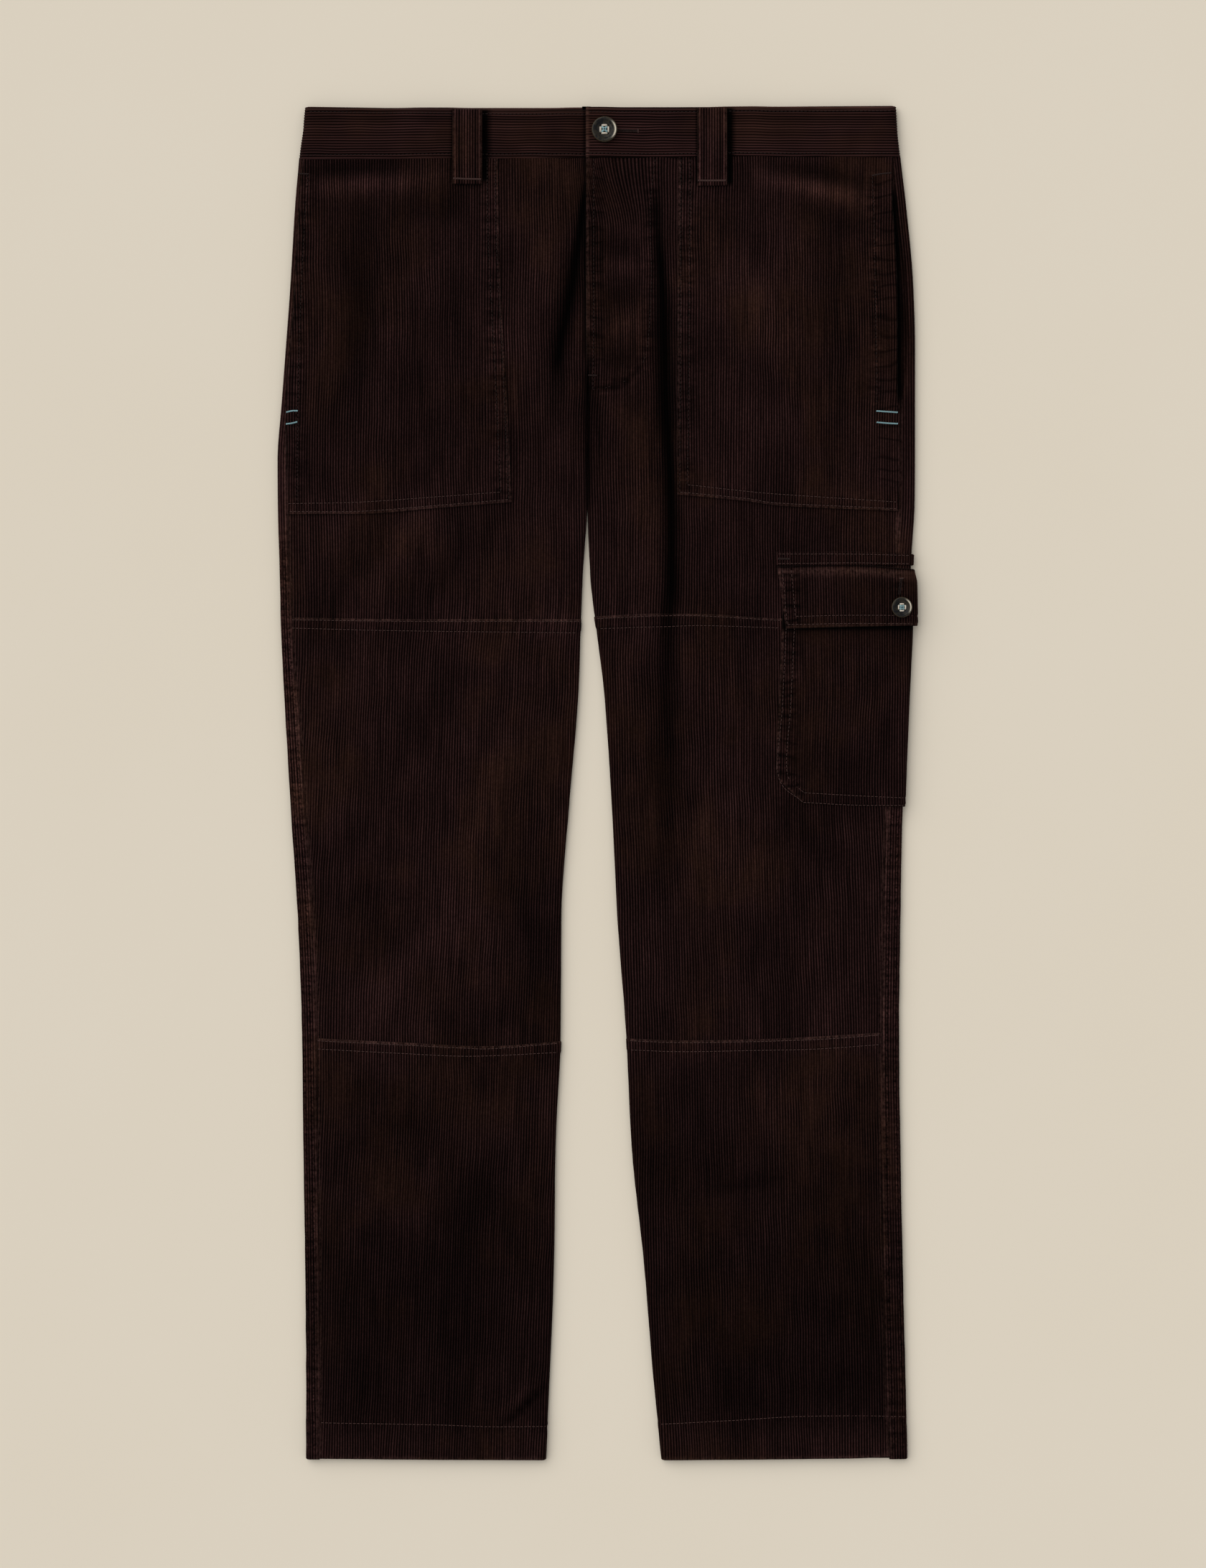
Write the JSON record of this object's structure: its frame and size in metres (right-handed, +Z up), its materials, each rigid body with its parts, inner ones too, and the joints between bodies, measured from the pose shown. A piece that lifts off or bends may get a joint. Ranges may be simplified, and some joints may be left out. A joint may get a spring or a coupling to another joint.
{
  "type": "corduroy cargo trousers laid flat",
  "caption": "Straight-leg corduroy trousers laid flat on their back, with patch pockets, a cargo pocket, belt loops and a buttoned waistband.",
  "frame": {"origin": "centre of the bounding box at its lowest level, on the surface that the trousers lie on", "axes": "+X towards the wearer's left side, +Y from the hems towards the waist, +Z up, out of the front"},
  "size_m": [0.4999, 1.0548, 0.0178],
  "materials": {
    "corduroy": "dark brown cotton corduroy, about 12 wales to the inch, soft matt nap",
    "horn": "dark mottled horn-like resin, polished",
    "thread": "brown sewing thread, with a few teal bar tacks"
  },
  "bodies": {
    "root": {"waistband_right": "corduroy", "waistband_left": "corduroy", "front_right_hip": "corduroy", "front_right_thigh": "corduroy", "front_right_shin": "corduroy", "front_left_hip": "corduroy", "front_left_thigh": "corduroy", "front_left_shin": "corduroy", "back_right": "corduroy", "back_left": "corduroy", "patch_pocket_right": "corduroy", "patch_pocket_left": "corduroy", "cargo_pocket": "corduroy", "cargo_flap": "corduroy", "cargo_flap_strip": "corduroy", "belt_loop_front_right": "corduroy", "belt_loop_front_left": "corduroy", "belt_loop_back_right": "corduroy", "belt_loop_centre_back": "corduroy", "belt_loop_back_left": "corduroy", "button_waist": "horn", "button_cargo": "horn"}
  },
  "joints": []
}
